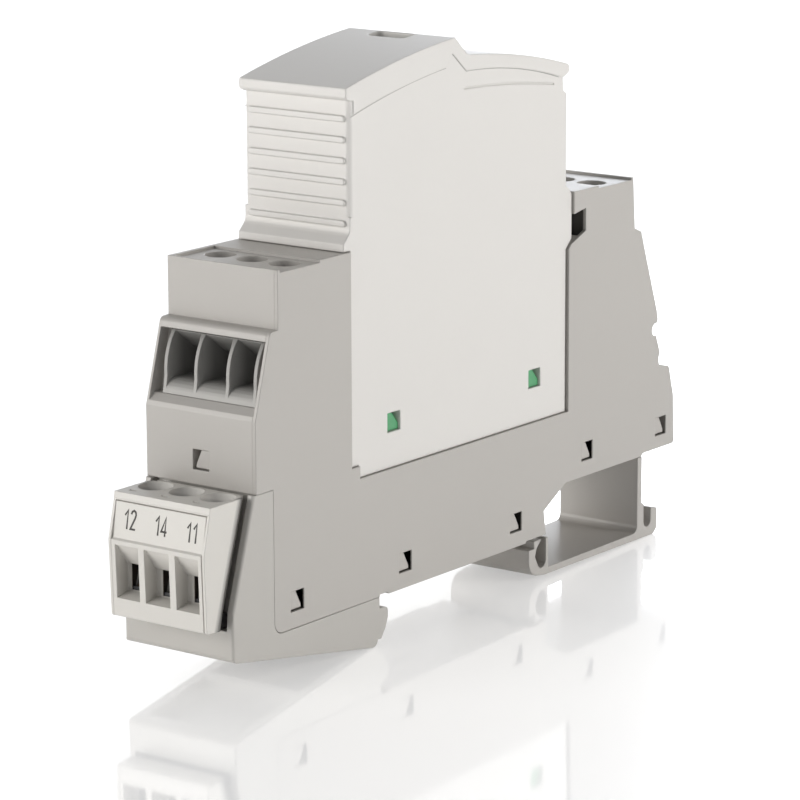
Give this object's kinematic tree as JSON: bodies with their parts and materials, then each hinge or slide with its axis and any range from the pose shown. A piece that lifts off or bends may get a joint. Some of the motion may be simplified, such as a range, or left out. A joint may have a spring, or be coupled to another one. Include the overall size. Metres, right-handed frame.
{
  "type": "din rail surge arrester",
  "caption": "Slim rail-mounted surge arrester: two-block base with screw terminals, arched plug-in module and a leaning plug-in signalling connector at the front.",
  "frame": {"origin": "centre of the rail seat, the flat underside that lies on the rail", "axes": "+X across the width towards the cover, +Y along the base towards the sprung foot, +Z away from the rail"},
  "size_m": [0.0176, 0.1051, 0.0779],
  "materials": {
    "housing_grey": "fine-grained moulded polyamide",
    "carrier_grey": "fine-grained moulded polyamide",
    "insert_grey": "fine-grained moulded polyamide",
    "plug_white": "fine-grained moulded polyamide",
    "connector_white": "smooth moulded polyamide",
    "hook_green": "smooth moulded plastic",
    "flag_green": "smooth moulded plastic",
    "dark_plastic": "smooth moulded plastic",
    "button_red": "smooth moulded plastic",
    "natural_plastic": "smooth moulded plastic",
    "copper_alloy": "tinned contact strip",
    "plated_steel": "zinc plated, brushed",
    "board_green": "solder resist",
    "varistor_blue": "epoxy coated",
    "tube_ceramic": "glazed ceramic with metal ends"
  },
  "bodies": {
    "base": {"base_tub": "housing_grey", "base_cover": "housing_grey", "signal_carrier": "carrier_grey", "front_terminal_insert": "insert_grey", "rear_terminal_insert": "insert_grey", "front_bar_1": "copper_alloy", "front_bar_2": "copper_alloy", "front_bar_3": "copper_alloy", "rear_bar_1": "copper_alloy", "rear_bar_2": "copper_alloy", "rear_bar_3": "copper_alloy", "signal_board": "board_green", "microswitch": "dark_plastic", "header_shroud": "dark_plastic", "header_pins": "plated_steel"},
    "rail_foot": {"rail_foot": "housing_grey"},
    "plug": {"plug_hood": "plug_white", "plug_carrier": "hook_green", "front_blades": "plated_steel", "rear_blades": "plated_steel", "plug_board": "board_green", "varistor_1": "varistor_blue", "varistor_2": "varistor_blue", "gas_tube": "tube_ceramic", "solder_link": "copper_alloy"},
    "status_rocker": {"status_rocker": "flag_green"},
    "fault_tappet": {"fault_tappet": "natural_plastic"},
    "microswitch_button": {"microswitch_button": "button_red"},
    "connector": {"connector_body": "connector_white", "connector_front": "connector_white", "connector_contacts": "copper_alloy"},
    "front_screw_1": {"front_screw_1": "plated_steel"},
    "front_cage_1": {"front_cage_1": "plated_steel"},
    "front_screw_2": {"front_screw_2": "plated_steel"},
    "front_cage_2": {"front_cage_2": "plated_steel"},
    "front_screw_3": {"front_screw_3": "plated_steel"},
    "front_cage_3": {"front_cage_3": "plated_steel"},
    "rear_screw_1": {"rear_screw_1": "plated_steel"},
    "rear_cage_1": {"rear_cage_1": "plated_steel"},
    "rear_screw_2": {"rear_screw_2": "plated_steel"},
    "rear_cage_2": {"rear_cage_2": "plated_steel"},
    "rear_screw_3": {"rear_screw_3": "plated_steel"},
    "rear_cage_3": {"rear_cage_3": "plated_steel"},
    "signal_screw_1": {"signal_screw_1": "plated_steel"},
    "signal_cage_1": {"signal_cage_1": "plated_steel"},
    "signal_screw_2": {"signal_screw_2": "plated_steel"},
    "signal_cage_2": {"signal_cage_2": "plated_steel"},
    "signal_screw_3": {"signal_screw_3": "plated_steel"},
    "signal_cage_3": {"signal_cage_3": "plated_steel"}
  },
  "joints": [
    {"name": "foot_slide", "type": "slide", "parent": "base", "child": "rail_foot", "axis": [0, 1, 0], "range_m": [0, 0.002], "stiffness_N_per_m": 2500},
    {"name": "plug_lift", "type": "slide", "parent": "base", "child": "plug", "axis": [0, 0, 1], "range_m": [0, 0.038]},
    {"name": "rocker_swing", "type": "hinge", "parent": "plug", "child": "status_rocker", "pos_m": [0.00295, -0.003, 0.04], "axis": [1, 0, 0], "range_deg": [0, 9.05]},
    {"name": "tappet_slide", "type": "slide", "parent": "plug", "child": "fault_tappet", "axis": [0, 0, -1], "range_m": [0, 0.00079], "stiffness_N_per_m": 280},
    {"name": "button_slide", "type": "slide", "parent": "base", "child": "microswitch_button", "axis": [0, 0, -1], "range_m": [0, 0.00071]},
    {"name": "connector_pull", "type": "slide", "parent": "base", "child": "connector", "axis": [0, -0.9563, 0.2924], "range_m": [0, 0.008]},
    {"name": "front_screw_1_turn", "type": "hinge", "parent": "base", "child": "front_screw_1", "pos_m": [-0.00485, -0.0326, 0.044], "axis": [0, 0, -1], "range_deg": [0, 1585]},
    {"name": "front_cage_1_rise", "type": "slide", "parent": "base", "child": "front_cage_1", "axis": [0, 0, 1], "range_m": [0, 0.0022]},
    {"name": "front_screw_2_turn", "type": "hinge", "parent": "base", "child": "front_screw_2", "pos_m": [0.00035, -0.0326, 0.044], "axis": [0, 0, -1], "range_deg": [0, 1585]},
    {"name": "front_cage_2_rise", "type": "slide", "parent": "base", "child": "front_cage_2", "axis": [0, 0, 1], "range_m": [0, 0.0022]},
    {"name": "front_screw_3_turn", "type": "hinge", "parent": "base", "child": "front_screw_3", "pos_m": [0.00555, -0.0326, 0.044], "axis": [0, 0, -1], "range_deg": [0, 1585]},
    {"name": "front_cage_3_rise", "type": "slide", "parent": "base", "child": "front_cage_3", "axis": [0, 0, 1], "range_m": [0, 0.0022]},
    {"name": "rear_screw_1_turn", "type": "hinge", "parent": "base", "child": "rear_screw_1", "pos_m": [-0.00485, 0.0361, 0.044], "axis": [0, 0, -1], "range_deg": [0, 1585]},
    {"name": "rear_cage_1_rise", "type": "slide", "parent": "base", "child": "rear_cage_1", "axis": [0, 0, 1], "range_m": [0, 0.0022]},
    {"name": "rear_screw_2_turn", "type": "hinge", "parent": "base", "child": "rear_screw_2", "pos_m": [0.00035, 0.0361, 0.044], "axis": [0, 0, -1], "range_deg": [0, 1585]},
    {"name": "rear_cage_2_rise", "type": "slide", "parent": "base", "child": "rear_cage_2", "axis": [0, 0, 1], "range_m": [0, 0.0022]},
    {"name": "rear_screw_3_turn", "type": "hinge", "parent": "base", "child": "rear_screw_3", "pos_m": [0.00555, 0.0361, 0.044], "axis": [0, 0, -1], "range_deg": [0, 1585]},
    {"name": "rear_cage_3_rise", "type": "slide", "parent": "base", "child": "rear_cage_3", "axis": [0, 0, 1], "range_m": [0, 0.0022]},
    {"name": "signal_screw_1_turn", "type": "hinge", "parent": "connector", "child": "signal_screw_1", "pos_m": [-0.00495, -0.04702, 0.01597], "axis": [0, -0.2924, -0.9563], "range_deg": [0, 1801]},
    {"name": "signal_cage_1_rise", "type": "slide", "parent": "connector", "child": "signal_cage_1", "axis": [0, 0.2924, 0.9563], "range_m": [0, 0.002]},
    {"name": "signal_screw_2_turn", "type": "hinge", "parent": "connector", "child": "signal_screw_2", "pos_m": [0.00015, -0.04702, 0.01597], "axis": [0, -0.2924, -0.9563], "range_deg": [0, 1801]},
    {"name": "signal_cage_2_rise", "type": "slide", "parent": "connector", "child": "signal_cage_2", "axis": [0, 0.2924, 0.9563], "range_m": [0, 0.002]},
    {"name": "signal_screw_3_turn", "type": "hinge", "parent": "connector", "child": "signal_screw_3", "pos_m": [0.00525, -0.04702, 0.01597], "axis": [0, -0.2924, -0.9563], "range_deg": [0, 1801]},
    {"name": "signal_cage_3_rise", "type": "slide", "parent": "connector", "child": "signal_cage_3", "axis": [0, 0.2924, 0.9563], "range_m": [0, 0.002]}
  ],
  "couplings": [
    {"joint": "rocker_swing", "follows": "tappet_slide", "rad_per_m": 198.84},
    {"joint": "button_slide", "follows": "tappet_slide", "ratio": 0.886},
    {"joint": "front_screw_1_turn", "follows": "front_cage_1_rise", "rad_per_m": 12566},
    {"joint": "front_screw_2_turn", "follows": "front_cage_2_rise", "rad_per_m": 12566},
    {"joint": "front_screw_3_turn", "follows": "front_cage_3_rise", "rad_per_m": 12566},
    {"joint": "rear_screw_1_turn", "follows": "rear_cage_1_rise", "rad_per_m": 12566},
    {"joint": "rear_screw_2_turn", "follows": "rear_cage_2_rise", "rad_per_m": 12566},
    {"joint": "rear_screw_3_turn", "follows": "rear_cage_3_rise", "rad_per_m": 12566},
    {"joint": "signal_screw_1_turn", "follows": "signal_cage_1_rise", "rad_per_m": 15708},
    {"joint": "signal_screw_2_turn", "follows": "signal_cage_2_rise", "rad_per_m": 15708},
    {"joint": "signal_screw_3_turn", "follows": "signal_cage_3_rise", "rad_per_m": 15708}
  ]
}
